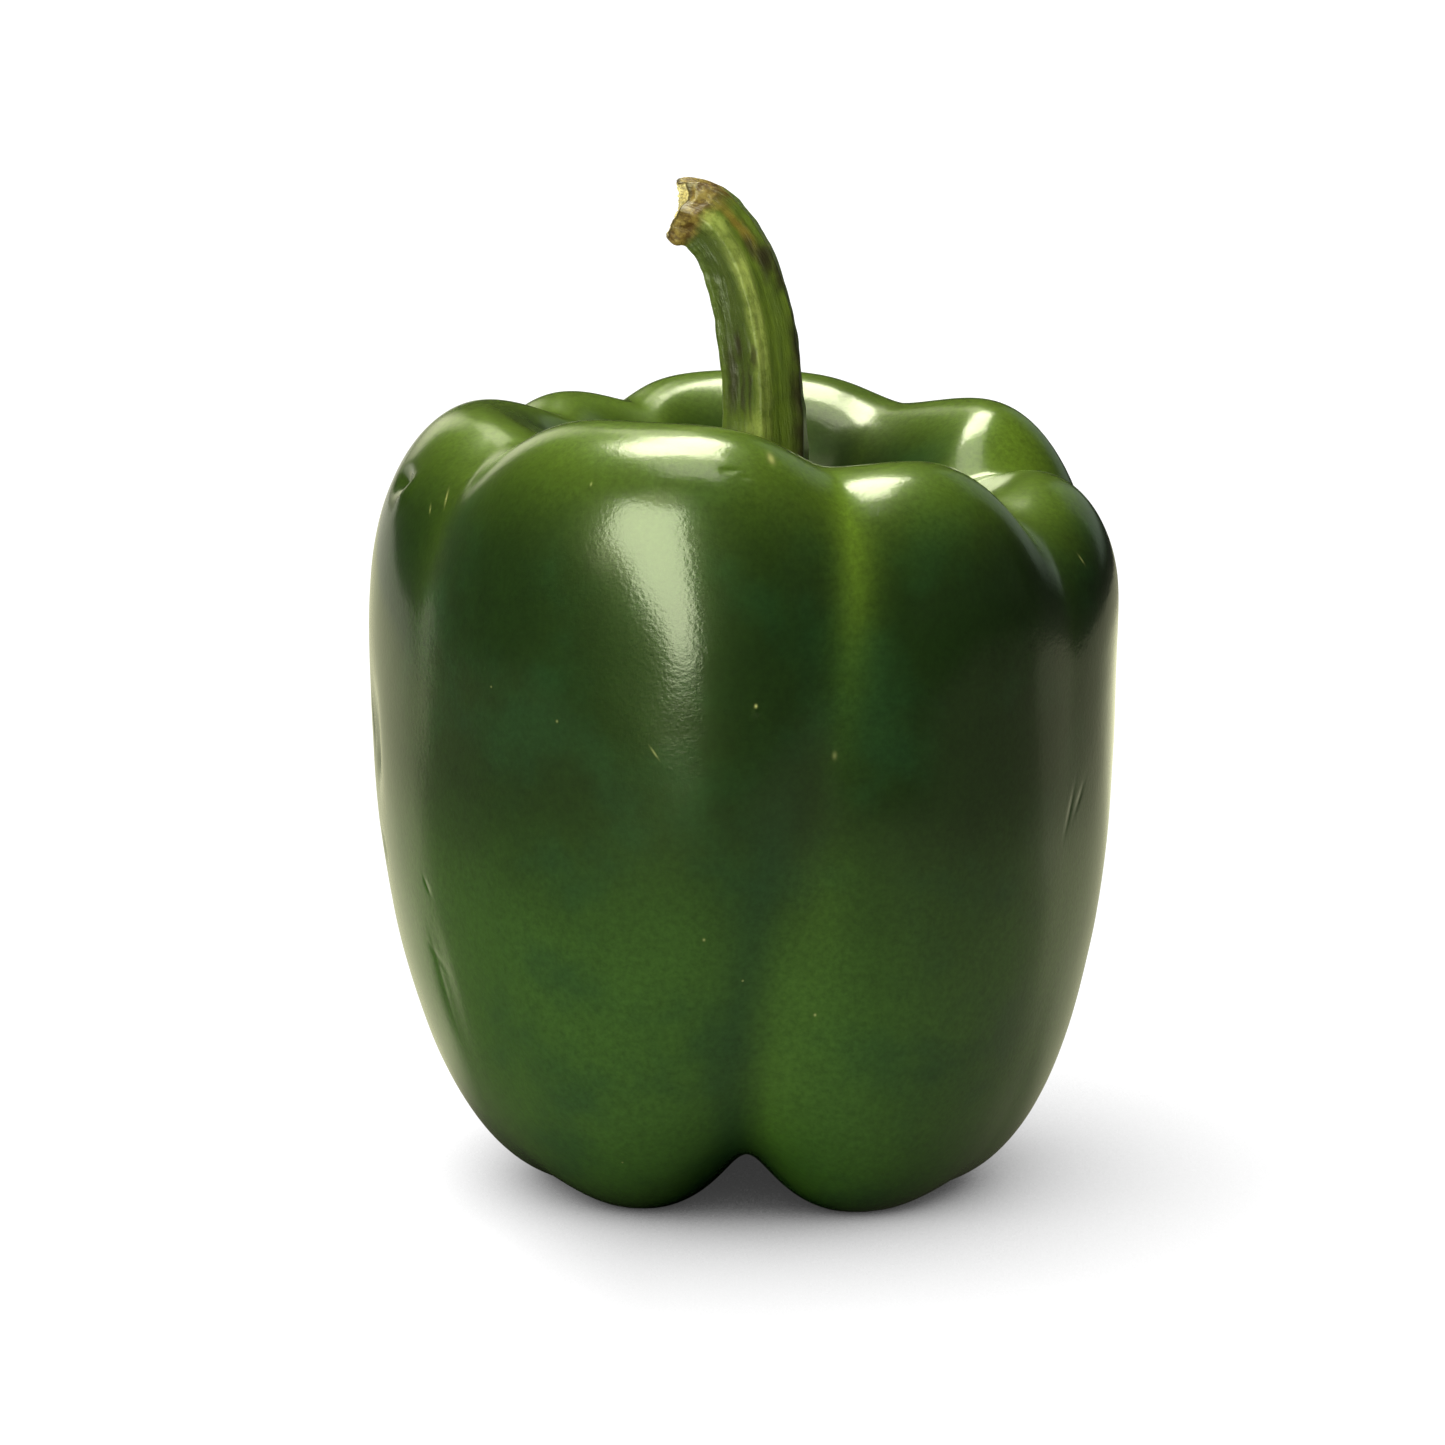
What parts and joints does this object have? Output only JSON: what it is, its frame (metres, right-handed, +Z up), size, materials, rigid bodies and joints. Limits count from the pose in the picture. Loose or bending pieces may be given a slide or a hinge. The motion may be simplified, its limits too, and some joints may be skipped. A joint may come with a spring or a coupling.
{
  "type": "bell pepper",
  "caption": "Whole green bell pepper standing on its lobed base, with deep grooves down its glossy skin and a curved, ribbed stem rising from a star-shaped calyx.",
  "frame": {"origin": "on the surface that the pepper stands on, under the middle of its box", "axes": "+Z up, from the base to the stem; -Y is the front; +X is to the right seen from the front"},
  "size_m": [0.0906, 0.0876, 0.1212],
  "materials": {
    "skin": "waxy, glossy dark green skin",
    "stem": "olive green, satin, ribbed"
  },
  "bodies": {
    "root": {"fruit": "skin", "stem_and_calyx": "stem"}
  },
  "joints": []
}
